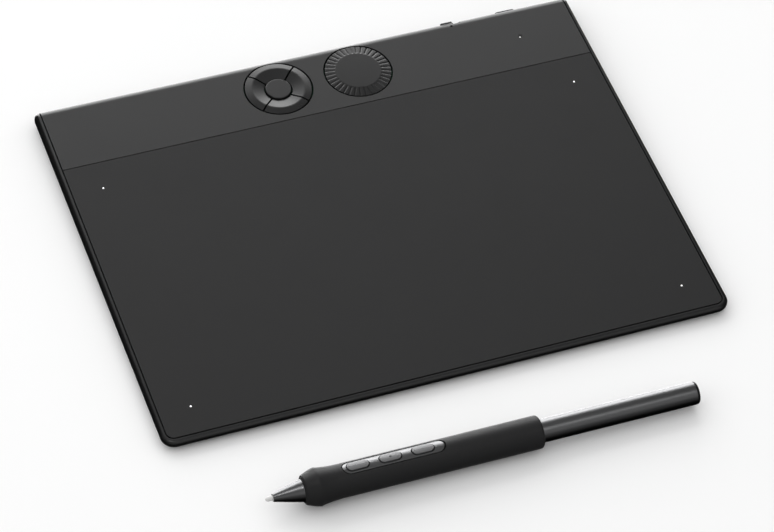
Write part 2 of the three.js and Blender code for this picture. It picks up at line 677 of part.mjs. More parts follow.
function endCap() {
  const [seat, rear, radius] = [PEN.length - CAP.length, PEN.length, PEN.radius - 0.1];
  const profile = [
    [seat - CAP.plug, 0],
    [seat - CAP.plug, CAP.plugRadius],
    [seat, CAP.plugRadius],
    [seat, radius],
    [rear - 0.35, radius],
    [rear - 0.1, radius - 0.2],
    [rear, radius - 0.5],
    [rear, 0],
  ];
  return turnedAlongX(profile, SIDES.medium);
}

// A slot-shaped piece whose top is curved round the pen's axis
function curvedPenSlot(x0, x1, halfWidth, foot, radius) {
  const round = turnedAlongX([[x0, 0], [x0, radius], [x1, radius], [x1, 0]], SIDES.large);
  return common(penSlot(x0, x1, halfWidth, foot, radius + 1), round);
}

function buttonPlate() {
  const plate = curvedPenSlot(PLATE.start, PLATE.end, PLATE.halfWidth, PLATE.foot, PLATE.radius);
  const reach = BUTTON.length / 2 + BUTTON.gap;
  const halfWidth = BUTTON.width / 2 + BUTTON.gap;
  return cut(plate, ...BUTTON.xs.map((x) => penSlot(x - reach, x + reach, halfWidth, 0, PLATE.radius + 1)));
}

function sideButton(x) {
  const reach = BUTTON.length / 2;
  const cap = curvedPenSlot(x - reach, x + reach, BUTTON.width / 2, BUTTON.foot, BUTTON.radius);
  return joined(cap, post(x, 0, BUTTON_STEM.radius, BUTTON_STEM.foot, BUTTON.foot + 0.2));
}

function sideSwitch(x) {
  const { halfLength, halfWidth, foot, top } = SIDE_SWITCH;
  return box(x - halfLength, x + halfLength, -halfWidth, halfWidth, foot, top);
}

function penBoard() {
  const { start, end, halfWidth, halfThickness } = PEN_BOARD;
  return box(start, end, -halfWidth, halfWidth, -halfThickness, halfThickness);
}

// ---------------------------------------------------------------- assembly

place(deck, "body_tray", bodyTray(), bodyBlack);
place(deck, "drawing_surface", drawingSurface(), surfaceGrey);
place(deck, "control_strip", controlStrip(), stripGrey);

["rear", "left", "front", "right"].forEach((side, i) => {
  place(deck, `ring_key_${side}`, ringKey((i * Math.PI) / 2), keyGrey);
});
place(deck, "center_key", centreKey(), keyGrey);
place(deck, "dial_cap", dialCap(), keyGrey);
place(deck, "dial_spindle", dialSpindle(), steel);
place(deck, "dial_encoder", encoderBase(), switchPlastic);

const { reach } = PLUNGER;
const switchTop = PLUNGER.foot - KEY_TRAVEL - CLOSE_FIT;
[[0, 0], [0, reach], [-reach, 0], [0, -reach], [reach, 0]].forEach(([x, y], i) => {
  const dome = post(x, y, KEY_SWITCH_RADIUS, BOARD.top + CLOSE_FIT, switchTop);
  place(deck, `key_switch_${i + 1}`, dome.translate(CONTROL.ringX, CONTROL.y, 0), steel);
});
place(deck, "key_board", stripBoard(KEY_BOARD), circuitGreen);
place(deck, "main_board", mainBoard(), circuitGreen);
place(deck, "radio_can", box(...RADIO_CAN.x, ...RADIO_CAN.y, BOARD.top + CLOSE_FIT, RADIO_CAN.top), steel);
place(deck, "battery", box(...BATTERY.x, ...BATTERY.y, BATTERY.foot, BATTERY.top), batteryFoil);
place(deck, "sensor_ribbon", sensorRibbon(), ribbonFilm);
place(deck, "usb_c_port", usbPort(), steel);
place(deck, "power_switch_body", powerSwitchBody(), switchPlastic);
place(deck, "power_knob", powerKnob(), switchPlastic);

place(deck, "sensor_board", sensorLayer(SENSOR_BOARD), circuitGreen);
place(deck, "shield_plate", sensorLayer(SHIELD), steel);
markerPlaces.forEach(([x, y], i) => {
  const light = post(x, y, MARKER_RADIUS, SENSOR_BOARD.top + 0.15, -0.03);
  place(deck, `marker_light_${i + 1}`, light, lightWhite);
});
const { x: statusX, y: statusY, radius: statusRadius } = STATUS_LIGHT;
place(deck, "status_light", post(statusX, statusY, statusRadius, BOARD.top + FIT, -0.1), lightWhite);
SCREW.xs.forEach((x, i) => place(deck, `cover_screw_${i + 1}`, coverScrew(x), steel));
footPlaces.forEach(([x, y], i) => {
  const foot = extruded(footShape(0), 0, FOOT_HEIGHT + FOOT.sunk).translate(x, y, 0);
  place(desk, `foot_${i + 1}`, foot, footRubber);
});

place(pen, "nib", nib(), nibWhite);
place(pen, "nose_cone", noseCone(), barrelMetal);
place(pen, "grip", gripSleeve(), gripRubber);
place(pen, "pen_core", penCore(), switchPlastic);
place(pen, "rear_barrel", rearBarrel(), barrelMetal);
place(pen, "end_cap", endCap(), switchPlastic);
place(pen, "button_plate", buttonPlate(), barrelMetal);
BUTTON.xs.forEach((x, i) => {
  place(pen, `side_button_${i + 1}`, sideButton(x), buttonGrey);
  place(pen, `side_switch_${i + 1}`, sideSwitch(x), steel);
});
place(pen, "pen_board", penBoard(), circuitGreen);
place(pen, "ferrite_core", sleeve(FERRITE), ferriteBlack);
place(pen, "antenna_coil", sleeve(COIL), copper);
place(pen, "pressure_sensor", plug(PRESSURE_SENSOR), switchPlastic);
place(pen, "balance_weight", plug(WEIGHT), brass);

const tablet = new THREE.Group();
tablet.add(deck, desk, pen);
export default tablet;
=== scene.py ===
"""A slim pen tablet and its cordless pen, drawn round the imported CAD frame.

The tablet's pieces are built in deck millimetres: origin at the middle of the top plane, +Y to the rear,
+Z out of the deck. The pen's are built in pen millimetres: origin at the nib's tip, +X along the pen,
+Z through its buttons. Each piece is then moved into the frame, which is in metres.
"""
import json
import math

import bpy
from mathutils import Matrix, Vector


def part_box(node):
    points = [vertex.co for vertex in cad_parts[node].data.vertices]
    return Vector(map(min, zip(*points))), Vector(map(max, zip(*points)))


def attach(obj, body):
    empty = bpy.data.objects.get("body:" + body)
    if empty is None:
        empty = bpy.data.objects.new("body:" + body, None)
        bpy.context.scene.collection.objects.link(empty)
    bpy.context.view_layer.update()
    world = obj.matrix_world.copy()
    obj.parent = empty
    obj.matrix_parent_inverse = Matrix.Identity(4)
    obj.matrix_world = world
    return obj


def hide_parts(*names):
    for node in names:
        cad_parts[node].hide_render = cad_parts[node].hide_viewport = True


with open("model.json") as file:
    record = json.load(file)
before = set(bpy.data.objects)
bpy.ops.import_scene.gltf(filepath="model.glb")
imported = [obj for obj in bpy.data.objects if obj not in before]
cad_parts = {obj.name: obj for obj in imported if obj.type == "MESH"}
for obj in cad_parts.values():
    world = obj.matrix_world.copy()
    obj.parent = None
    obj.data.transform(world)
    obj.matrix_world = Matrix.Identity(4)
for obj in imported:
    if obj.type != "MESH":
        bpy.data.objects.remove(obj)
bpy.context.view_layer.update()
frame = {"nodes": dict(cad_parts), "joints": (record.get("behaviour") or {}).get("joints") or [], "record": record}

# ---------------------------------------------------------------- sizes, in millimetres

MM = 0.001
WIDTH, DEPTH, MID_THICKNESS = 215.0, 163.0, 5.5
HALF_WIDTH, HALF_DEPTH = WIDTH / 2, DEPTH / 2
CORNER_FRONT, CORNER_REAR, LEAST_CORNER = 5.0, 1.8, 0.6
ROUND_SIDE, ROUND_REAR = 1.6, 3.9
DROP_FRONT, DROP_REAR = 1.1, 3.5
BELLY_INSET, BELLY_RISE = 3.4, 2.4
FIT = 0.3  # the play between two pieces
GROOVE, SEAM = 0.5, 0.3
RIM_INSET = 1.75
SEAM_Y = 49.85
SURFACE_THICKNESS, STRIP_THICKNESS = 0.8, 1.2
STRIP_WALL_FOOT, STRIP_WALL_SEAT, STRIP_WALL_FRONT = -5.6, 78.3, 78.6
THIN_WALL_TOP, THIN_WALL_FRONT = -2.6, 80.0  # the strip's rear wall is thinner below this height
POCKET_HALF_WIDTH, POCKET_FRONT, POCKET_REAR = 103.2, -77.0, 79.3  # the hollow for the boards
POCKET_FLOOR, POCKET_ROUND = -3.0, 4.0
BAR_FRONT, BAR_REAR = SEAM_Y - 1.25, SEAM_Y + 1.75  # the tray's bar under the seam
RIBBON_LEFT, RIBBON_RIGHT, RIBBON_FLOOR = 39.0, 53.0, -2.7  # the ribbon's notch in that bar
LIGHT_X, LIGHT_Y_FRONT, LIGHT_Y_REAR, LIGHT_HOLE = 93.5, -67.5, 37.5, 0.5
LIGHT_RADIUS, LIGHT_FOOT, LIGHT_TOP, LIGHT_TIP = 0.4, -1.35, -0.03, 0.26
STATUS_X, STATUS_Y, STATUS_HOLE = 82.3, 65.6, 0.8
STATUS_RADIUS, STATUS_FOOT, STATUS_TOP, STATUS_TIP = 0.45, -3.6, -0.45, 0.14
MARK_X, MARK_Y, MARK_RADIUS, MARK_DEPTH = 58.6, 78.05, 0.52, 0.9  # a dimple that marks the power switch
CONTROL_Y, RING_X, DIAL_X = 66.0, -16.0, 16.0
HOLE_RADIUS, CAP_RADIUS, HOLE_SIDES = 13.3, 12.68, 144
DIAL_RIDGES, SPLIT = 36, 0.7
PORT_X, PORT_Z, PORT_WIDTH, PORT_HEIGHT, PORT_LENGTH = 81.9, -3.1, 8.94, 3.26, 7.2
PORT_REAR = HALF_DEPTH - 0.2
SLOT_LEFT, SLOT_RIGHT, POWER_Z, KNOB_HEIGHT, KNOB_WIDTH = 55.0, 63.4, -2.5, 2.2, 4.9
PAD_Z, PAD_HEIGHT, PAD_FRONT, PAD_BACK = -1.55, 2.0, 79.1, 80.3  # the knob's flush part in its outer slot
LEDGE_Z, LEDGE_HEIGHT = -1.97, 1.16  # the part of the knob that stands out
KNOB_REAR = HALF_DEPTH + 0.1
OPENING_FRONT, SLOT_PLAY = 53.0, 0.4  # where the cuts through the rear edge start, and the knob's play
SCREW_Y, SCREW_XS = 65.0, (-100.8, -33.5, 33.5, 100.8)
SCREW_HOLE, SCREW_HEAD_HOLE, SCREW_HEAD_DEPTH, SCREW_HOLE_TOP = 1.0, 1.8, 0.75, -3.9
BOSS_RADIUS, PILOT_RADIUS, PILOT_TOP = 2.0, 0.95, -2.6
FOOT_LENGTH, FOOT_WIDTH, FOOT_HEIGHT, FOOT_SUNK = 26.0, 8.0, 0.6, 0.3
FOOT_PLACES = [(x, y) for x in (-84, 84) for y in (-66, 68)]
LIGHT_PLACES = [(x, y) for x in (-LIGHT_X, LIGHT_X) for y in (LIGHT_Y_FRONT, LIGHT_Y_REAR)]
ABOVE, BELOW, BEYOND = 3.0, -9.0, HALF_DEPTH + 10  # where cutters end, clear of the tablet
PLATE_HALF_WIDTH = HALF_WIDTH - RIM_INSET - GROOVE
WELL_HALF_WIDTH = HALF_WIDTH - RIM_INSET
SURFACE_FRONT = -HALF_DEPTH + RIM_INSET + GROOVE + 0.2
FACE_MOUNT_AHEAD = 15  # how far the mount on the drawing surface lies in front of the deck's middle

PEN_LENGTH, PEN_RADIUS = 160.8, 4.2
CONE_MOUTH, CONE_BASE, CONE_STEP = 2.7, 13.2, 13.5
MOUTH_RADIUS, MOUTH_BORE, BASE_RADIUS, CONE_SWELL = 1.4, 1.2, 4.02, 0.04
GRIP_FRONT, GRIP_REAR, GRIP_RADIUS, GRIP_ROUND = 13.3, 101.0, 5.98, 1.0
FLARE_X, FLARE_RADIUS, BLEND_X = 18.5, 6.8, 27.5
GRIP_BORE, LIP_BORE, LIP_END = 4.5, 4.15, 14.5
CORE_FRONT, CORE_REAR, CORE_BORE = 14.8, 95.7, 3.55
BARREL_BORE = 3.5
PLATE_START, PLATE_END, PLATE_HALF, PLATE_GAP = 27.95, 65.0, 2.55, 0.32
PLATE_RADIUS, PLATE_FOOT = 5.85, 4.5
OUTSIDE_PEN = 9  # where cutters end, clear of the pen
BUTTON_XS, BUTTON_LENGTH, BUTTON_WIDTH = (33.4, 45.3, 57.2), 7.8, 3.3
BUTTON_RADIUS, BUTTON_FOOT, BUTTON_GAP = 6.15, 4.75, 0.4
PLUNGER_RADIUS, PLUNGER_HOLE, PLUNGER_FOOT = 0.7, 1.1, 1.9
DIMPLE_RADIUS, DIMPLE_DEPTH = 0.38, 0.3
FERRITE_MIDDLE = (6.6 + 14) / 2  # how far the middle of the ferrite core lies behind the nib's tip

# ---------------------------------------------------------------- the view and the lights

VIEW_ANGLES = (23.8126, 49.2373, 5.0873)  # heading, elevation and roll, in degrees
VIEW_TARGET, VIEW_DISTANCE = Vector((-0.0043, -0.003175, 0)), 1.2181  # in metres
VIEW_LENS, VIEW_SENSOR = 155.396, 36  # in millimetres

# Each soft box is a name, a heading and an elevation in degrees, then a distance, a width and a height in
# metres, and a brightness.
SHADING_BOXES = (
    ("key", -5, 33, 2.5, 3.4, 2.2, 1.32),
    ("left", -90, 25, 2.5, 3.4, 2.0, 0.9),
    ("right", 90, 25, 2.5, 3.4, 2.0, 0.4),
    ("ceiling", 0, 90, 2.2, 4, 4, 0.56),
)
REFLECTED_BOXES = (
    ("rear_low", 8, -3, 2.5, 3.0, 3.2, 3.6),
    ("rear_high", 0, 39, 1.2, 1.6, 0.42, 0.8),
    ("overhead", 90, 84, 2.2, 2.6, 2.0, 0.16),
    ("top_left", 248, 76, 2.2, 0.6, 0.4, 5.0),
    ("top_right", 150, 58, 2.2, 0.8, 0.6, 1.0),
    ("front", 186, 32, 2.5, 5.5, 1.8, 0.28),
    ("front_low", 186, -6, 2.5, 6, 1.3, 0.08),
)
WORLD_STRENGTH = 0.36
FLOOR_HALF, FLOOR_FOOT, FLOOR_TOP = 4, -0.02, -0.0002  # in metres

# ---------------------------------------------------------------- frames


def deck_to_world():
    """From the mount on the drawing surface, which gives the deck's tilt and height."""
    mount = next(m for m in frame["record"]["mounts"] if m["name"] == "drawing_face")
    tilt = math.atan2(-mount["axis"][1], mount["axis"][2])
    turn = Matrix.Rotation(tilt, 4, "X")
    to_middle = Matrix.Translation((0, FACE_MOUNT_AHEAD * MM, 0))
    return Matrix.Translation(mount["pos_m"]) @ turn @ to_middle @ Matrix.Scale(MM, 4)


def pen_to_world():
    """From the directions that the nib and a side button travel in, and the ferrite core on the axis."""
    travel = {joint["name"]: Vector(joint["axis"]) for joint in frame["joints"]}
    along = travel["nib_press"].normalized()
    up = -travel["side_button_1_press"].normalized()
    side = up.cross(along)
    low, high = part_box("ferrite_core")
    tip = (low + high) / 2 - along * FERRITE_MIDDLE * MM
    turn = Matrix((along, side, up)).transposed().to_4x4()
    return Matrix.Translation(tip) @ turn @ Matrix.Scale(MM, 4)


DECK = deck_to_world()
PEN = pen_to_world()
TILT = DECK.to_euler().x
DESK = Matrix.Translation((0, DECK.translation.y, 0)) @ Matrix.Scale(MM, 4)


def underside_at(y):
    """The height of the tablet's flat underside, in deck millimetres."""
    return -MID_THICKNESS / math.cos(TILT) - y * math.tan(TILT)


# ---------------------------------------------------------------- mesh tools


def skin(rings, closed=False):
    """A closed mesh through rings of points, each anticlockwise from above and the first one lowest.

    A closed one joins its last ring to its first, as a tube's section does. The others get flat ends.
    """
    count = len(rings[0])
    points = [point for ring in rings for point in ring]
    faces = []
    for level in range(len(rings) if closed else len(rings) - 1):
        low, high = level * count, (level + 1) % len(rings) * count
        for i in range(count):
            j = (i + 1) % count
            faces.append((low + i, low + j, high + j, high + i))
    if not closed:
        last = (len(rings) - 1) * count
        faces.append(tuple(reversed(range(count))))
        faces.append(tuple(range(last, last + count)))
    mesh = bpy.data.meshes.new("solid")
    mesh.from_pydata(points, [], faces)
    solid = bpy.data.objects.new("solid", mesh)
    bpy.context.scene.collection.objects.link(solid)
    return solid


def moved(solid, x=0.0, y=0.0, z=0.0):
    solid.data.transform(Matrix.Translation((x, y, z)))
    return solid


def turned(solid, degrees, axis):
    solid.data.transform(Matrix.Rotation(math.radians(degrees), 4, axis))
    return solid


def circle(radius, z, sides):
    angles = (2 * math.pi * i / sides for i in range(sides))
    return [(radius * math.cos(a), radius * math.sin(a), z) for a in angles]


def lathe(profile, sides=96, closed=False):
    """A turned piece on the Z axis, from points (radius, height) that run upwards on the outside."""
    return skin([circle(radius, z, sides) for radius, z in profile], closed)


def lathe_along_x(profile, sides=96, closed=False):
    """The same on the X axis, from points (distance, radius) that run towards +X on the outside."""
    return turned(lathe([(radius, x) for x, radius in profile], sides, closed), 90, "Y")


def prism(outline, z0, z1):
    return skin([[(x, y, z) for x, y in outline] for z in (z0, z1)])


def block(x0, x1, y0, y1, z0, z1):
    return prism([(x0, y0), (x1, y0), (x1, y1), (x0, y1)], z0, z1)


def post(x, y, radius, z0, z1, sides=48):
    return moved(lathe([(radius, z0), (radius, z1)], sides), x, y)


def arc(x, y, radius, start, end, steps=12):
    angles = (math.radians(start + (end - start) * i / steps) for i in range(steps + 1))
    return [(x + radius * math.cos(a), y + radius * math.sin(a)) for a in angles]


def slot(length, width, steps=20):
    """The outline of a bar with round ends, along X."""
    reach, radius = (length - width) / 2, width / 2
    return arc(reach, 0, radius, -90, 90, steps) + arc(-reach, 0, radius, 90, 270, steps)


def round_fronted(half_width, front, rear, radius):
    """The outline of a plate whose two front corners are round."""
    left = arc(-half_width + radius, front + radius, radius, 180, 270)
    right = arc(half_width - radius, front + radius, radius, 270, 360)
    return left + right + [(half_width, rear), (-half_width, rear)]


def rear_slot(x, z, length, height, y0, y1):
    """A bar with round ends that points along Y, as the openings in the rear edge do."""
    return moved(turned(prism(slot(length, height), -y1, -y0), 90, "X"), x, 0, z)


def applied(solid):
    """Turns the object's modifiers into mesh."""
    graph = bpy.context.evaluated_depsgraph_get()
    mesh = bpy.data.meshes.new_from_object(solid.evaluated_get(graph))
    solid.modifiers.clear()
    solid.data = mesh
    return solid


def combined(solid, operation, others):
    for other in others:
        modifier = solid.modifiers.new("combine", "BOOLEAN")
        modifier.operation = operation
        modifier.solver = "EXACT"
        modifier.object = other
    applied(solid)
    for other in others:
        bpy.data.objects.remove(other)
    return solid


def cut(solid, *cutters):
    return combined(solid, "DIFFERENCE", cutters)


def joined(solid, *others):
    return combined(solid, "UNION", others)


def common(solid, other):
    return combined(solid, "INTERSECT", [other])


def shade_by_angle(solid, degrees):
    """Smooth shading that keeps edges sharper than the angle crisp."""
    solid.data.polygons.foreach_set("use_smooth", [True] * len(solid.data.polygons))
    solid.data.set_sharp_from_angle(angle=math.radians(degrees))
    return solid


def softened(solid, width, segments=3, angle=35):
    """Rounds every edge sharper than the angle, and keeps the flats between them flat in shading."""
    solid.data.polygons.foreach_set("use_smooth", [True] * len(solid.data.polygons))
    bevel = solid.modifiers.new("edges", "BEVEL")
    bevel.width = width
    bevel.segments = segments
    bevel.limit_method = "ANGLE"
    bevel.angle_limit = math.radians(angle)
    normals = solid.modifiers.new("normals", "WEIGHTED_NORMAL")
    normals.keep_sharp = True
    return applied(solid)


# ---------------------------------------------------------------- materials

MIX_SHARE, MIX_FIRST, MIX_SECOND, MIX_RESULT = 0, 6, 7, 2  # where the Mix node keeps its colour sockets


class Look:
    """A node material whose colour, roughness and bump vary in the object's own space."""

    def __init__(self, name, colour, roughness, metallic=0.0, specular=0.5):
        self.material = bpy.data.materials.new(name)
        self.material.use_nodes = True
        self.tree = self.material.node_tree
        self.shader = self.tree.nodes["Principled BSDF"]
        self.colour = colour
        self.roughness = roughness
        self.shader.inputs["Metallic"].default_value = metallic
        self.shader.inputs["Specular IOR Level"].default_value = specular
        self.place = self.node("ShaderNodeTexCoord").outputs["Object"]

    def node(self, kind, **settings):
        made = self.tree.nodes.new(kind)
        for name, value in settings.items():
            if hasattr(made, name):
                setattr(made, name, value)
            else:
                made.inputs[name.replace("_", " ")].default_value = value
        return made

    def link(self, start, end):
        self.tree.links.new(start, end)

    def noise(self, size_mm, detail=3.0, stretch=(1, 1, 1)):
        """Noise whose lumps are about the given size, drawn out along the axes by the stretch."""
        mapping = self.node("ShaderNodeMapping")
        mapping.inputs["Scale"].default_value = [1 / s for s in stretch]
        self.link(self.place, mapping.inputs["Vector"])
        noise = self.node("ShaderNodeTexNoise", Scale=1 / (size_mm * MM), Detail=detail)
        self.link(mapping.outputs["Vector"], noise.inputs["Vector"])
        return noise.outputs["Fac"]

    def spread(self, value, low, high):
        """Maps noise, which stays near the middle, to the range from low to high."""
        ranged = self.node("ShaderNodeMapRange")
        ranged.inputs["From Min"].default_value = 0.3
        ranged.inputs["From Max"].default_value = 0.7
        ranged.inputs["To Min"].default_value = low
        ranged.inputs["To Max"].default_value = high
        self.link(value, ranged.inputs["Value"])
        return ranged.outputs["Result"]

    def tint(self, value, variation):
        """Lets the colour swing by the given share either way."""
        mix = self.node("ShaderNodeMix", data_type="RGBA")
        mix.inputs[MIX_FIRST].default_value = [c * (1 - variation) for c in self.colour] + [1]
        mix.inputs[MIX_SECOND].default_value = [c * (1 + variation) for c in self.colour] + [1]
        self.link(self.spread(value, 0, 1), mix.inputs[MIX_SHARE])
        self.link(mix.outputs[MIX_RESULT], self.shader.inputs["Base Color"])

    def polish(self, value, variation):
        low, high = self.roughness - variation, self.roughness + variation
        self.link(self.spread(value, low, high), self.shader.inputs["Roughness"])

    def bump(self, value, height_mm, strength=1.0):
        """Stacks one more layer of relief on the shader's normal."""
        bump = self.node("ShaderNodeBump", Strength=strength, Distance=height_mm * MM)
        self.link(value, bump.inputs["Height"])
        normal = self.shader.inputs["Normal"]
        if normal.is_linked:
            self.link(normal.links[0].from_socket, bump.inputs["Normal"])
        self.link(bump.outputs["Normal"], normal)


def moulded_plastic(name, colour, roughness, grain_mm, relief_mm, specular=0.5, metallic=0.0):
    look = Look(name, colour, roughness, metallic, specular)
    grain = look.noise(grain_mm, detail=2)
    look.tint(grain, 0.05)
    look.polish(look.noise(14, detail=2), 0.02)
    look.bump(grain, relief_mm)
    return look.material


def soft_rubber(name, colour, roughness):
    look = Look(name, colour, roughness, specular=0.3)
    look.tint(look.noise(0.6, detail=6), 0.06)
    look.polish(look.noise(3), 0.04)
    look.bump(look.noise(0.25, detail=1), 0.005)
    look.shader.inputs["Sheen Weight"].default_value = 0.06
    look.shader.inputs["Sheen Roughness"].default_value = 0.4
    return look.material


def drawn_metal(name, colour, roughness, stretch=(40, 1, 1), relief_mm=0.0012):
    """Metal with fine lines along the direction of the stretch."""
    look = Look(name, colour, roughness, metallic=1.0)
    lines = look.noise(0.12, detail=2, stretch=stretch)
    look.tint(lines, 0.06)
    look.polish(lines, 0.05)
    look.bump(lines, relief_mm)
    return look.material


def spun_plastic(name, colour, roughness, centre, specular):
    """Satin plastic with fine rings round an axis through the given point."""
    look = Look(name, colour, roughness, specular=specular)
    offset = look.node("ShaderNodeVectorMath", operation="SUBTRACT")
    offset.inputs[1].default_value = centre
    look.link(look.place, offset.inputs[0])
    distance = look.node("ShaderNodeVectorMath", operation="LENGTH")
    look.link(offset.outputs["Vector"], distance.inputs[0])
    rings = look.node("ShaderNodeTexNoise", noise_dimensions="1D", Scale=1 / (0.15 * MM), Detail=2.0)
    look.link(distance.outputs["Value"], rings.inputs["W"])
    look.tint(rings.outputs["Fac"], 0.04)
    look.polish(look.noise(3), 0.03)
    look.bump(rings.outputs["Fac"], 0.0012)
    return look.material


def lit_guide(name, strength):
    look = Look(name, (0.9, 0.9, 0.9), 0.3)
    look.tint(look.noise(0.3), 0.03)
    look.shader.inputs["Emission Color"].default_value = (1, 1, 1, 1)
    look.shader.inputs["Emission Strength"].default_value = strength
    return look.material


def deck_point(x, y, z=0.0):
    return tuple(DECK @ Vector((x, y, z)))


def make_materials():
    """One material for each slot of the record."""
    return {
        "body_plastic": moulded_plastic("body_plastic", (0.005, 0.005, 0.0053), 0.36, 0.12, 0.0015, 0.7),
        "strip_plastic": moulded_plastic("strip_plastic", (0.0145, 0.0145, 0.0148), 0.42, 0.1, 0.001, 0.44),
        "surface_sheet": moulded_plastic("surface_sheet", (0.009, 0.009, 0.0093), 0.55, 0.09, 0.003, 0.33),
        "key_plastic": moulded_plastic("key_plastic", (0.012, 0.012, 0.0123), 0.29, 0.1, 0.0008, 0.6),
        "dial_plastic": spun_plastic(
            "dial_plastic", (0.014, 0.014, 0.0143), 0.38, deck_point(DIAL_X, CONTROL_Y), 0.34
        ),
        "button_plastic": moulded_plastic(
            "button_plastic", (0.2, 0.2, 0.204), 0.45, 0.08, 0.001, metallic=0.7
        ),
        "nib_plastic": moulded_plastic("nib_plastic", (0.62, 0.62, 0.61), 0.4, 0.1, 0.001),
        "grip_rubber": soft_rubber("grip_rubber", (0.014, 0.014, 0.0145), 0.5),
        "foot_rubber": soft_rubber("foot_rubber", (0.02, 0.02, 0.0205), 0.7),
        "barrel_metal": drawn_metal("barrel_metal", (0.225, 0.226, 0.23), 0.34),
        "light_guide": lit_guide("light_guide", 1.0),
        "inner_plastic": moulded_plastic("inner_plastic", (0.005, 0.005, 0.0052), 0.45, 0.15, 0.002),
        "circuit_board": moulded_plastic("circuit_board", (0.012, 0.075, 0.035), 0.35, 0.4, 0.004),
        "steel": drawn_metal("steel", (0.5, 0.5, 0.51), 0.3),
        "dark_steel": drawn_metal("dark_steel", (0.06, 0.06, 0.062), 0.4),
        "cell_foil": drawn_metal("cell_foil", (0.55, 0.56, 0.58), 0.4, stretch=(1, 1, 1)),
        "ribbon_film": moulded_plastic("ribbon_film", (0.5, 0.22, 0.05), 0.3, 0.5, 0.003),
        "ferrite": moulded_plastic("ferrite", (0.03, 0.03, 0.032), 0.8, 0.1, 0.01),
        "copper_wire": drawn_metal("copper_wire", (0.6, 0.25, 0.1), 0.35, stretch=(1, 40, 40)),
        "brass": drawn_metal("brass", (0.55, 0.4, 0.16), 0.3, stretch=(1, 40, 40)),
    }


MATERIALS = make_materials()
SLOT_OF = {part["node"]: part["material_slot"] for part in frame["record"]["subparts"]}
BODY_OF = {
    node: body for body, nodes in frame["record"]["behaviour"]["bodies"].items() for node in nodes
}


def show(solid, node, place):
    """Puts a finished solid in the frame in the CAD node's stead."""
    solid.data.transform(place)
    solid.name = f"fine_{node}"
    solid.data.name = solid.name
    solid.data.materials.clear()
    solid.data.materials.append(MATERIALS[SLOT_OF[node]])
    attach(solid, BODY_OF[node])
    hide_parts(node)
    return solid


# ---------------------------------------------------------------- tablet shells


def body_ring(side, rear, height, steps=16):
    """One level of the outer body, pulled in at the sides and the rear. Its height follows y."""
    half_width = HALF_WIDTH - side
    front_radius = max(CORNER_FRONT - side, LEAST_CORNER)
    rear_radius = max(CORNER_REAR - side, LEAST_CORNER)
    front_y = -HALF_DEPTH + side + front_radius
    rear_y = HALF_DEPTH - rear - rear_radius
    outline = arc(half_width - front_radius, front_y, front_radius, -90, 0, steps)
    outline += arc(half_width - rear_radius, rear_y, rear_radius, 0, 90, steps)
    outline += arc(-half_width + rear_radius, rear_y, rear_radius, 90, 180, steps)
    outline += arc(-half_width + front_radius, front_y, front_radius, 180, 270, steps)
    return [(x, y, height(y)) for x, y in outline]


def edge_drop(y):
    """How far the rounded upper edge falls below the deck."""
    return DROP_FRONT + (DROP_REAR - DROP_FRONT) * (y + HALF_DEPTH) / DEPTH


def outer_body(steps=10):
    """The whole tablet's outside: a quarter-round belly below, and a rounded upper edge."""
    rings = []
    for i in range(steps + 1):
        angle = math.pi / 2 * (1 - i / steps)
        inset = BELLY_INSET * (1 - math.cos(angle))
        rise = BELLY_RISE * (1 - math.sin(angle))
        rings.append(body_ring(inset, inset, lambda y: underside_at(y) + rise))
    for i in range(steps + 1):
        angle = math.pi / 2 * (1 - i / steps)
        share = 1 - math.sin(angle)
        drop = 1 - math.cos(angle)
        rings.append(body_ring(ROUND_SIDE * share, ROUND_REAR * share, lambda y: -edge_drop(y) * drop))
    return skin(rings)


def foot_recess(x, y):
    """Cut level with the desk, so it is turned back into deck millimetres."""
    outline = slot(FOOT_LENGTH + FIT, FOOT_WIDTH + FIT)
    cutter = moved(prism(outline, 0, FOOT_HEIGHT + FOOT_SUNK + 0.1), x, y)
    cutter.data.transform(DECK.inverted() @ DESK)
    return cutter


def body_tray():
    """The lower shell: a well for the sheet, a seat for the strip, and hollows for what is inside."""
    well = round_fronted(WELL_HALF_WIDTH, SURFACE_FRONT - GROOVE, SEAM_Y, CORNER_FRONT - RIM_INSET)
    pocket = round_fronted(POCKET_HALF_WIDTH, POCKET_FRONT, BAR_FRONT, POCKET_ROUND)
    screw_floor = underside_at(SCREW_Y) + SCREW_HEAD_DEPTH
    tray = cut(
        outer_body(),
        prism(well, -SURFACE_THICKNESS - FIT, ABOVE),
        prism(pocket, POCKET_FLOOR, ABOVE),
        block(-WELL_HALF_WIDTH, WELL_HALF_WIDTH, SEAM_Y - 1, BEYOND, -STRIP_THICKNESS - FIT, ABOVE),
        block(-WELL_HALF_WIDTH, WELL_HALF_WIDTH, STRIP_WALL_SEAT, BEYOND, STRIP_WALL_FOOT - FIT, ABOVE),
        block(-POCKET_HALF_WIDTH, POCKET_HALF_WIDTH, BAR_REAR, POCKET_REAR, STRIP_WALL_FOOT, ABOVE),
        block(RIBBON_LEFT, RIBBON_RIGHT, BAR_FRONT - 1, BAR_REAR + 1, RIBBON_FLOOR, ABOVE),
        *[post(x, SCREW_Y, SCREW_HOLE, BELOW, SCREW_HOLE_TOP) for x in SCREW_XS],
        *[post(x, SCREW_Y, SCREW_HEAD_HOLE, BELOW, screw_floor) for x in SCREW_XS],
        *[foot_recess(x, y) for x, y in FOOT_PLACES],
    )
    return softened(tray, 0.13)


def drawing_surface():
    """The matte sheet, with a hole for each marker light."""
    outline = round_fronted(
        PLATE_HALF_WIDTH, SURFACE_FRONT, SEAM_Y - SEAM / 2, CORNER_FRONT - RIM_INSET - GROOVE
    )
    holes = [post(x, y, LIGHT_HOLE, BELOW, ABOVE) for x, y in LIGHT_PLACES]
    return softened(cut(prism(outline, -SURFACE_THICKNESS, 0), *holes), 0.12)


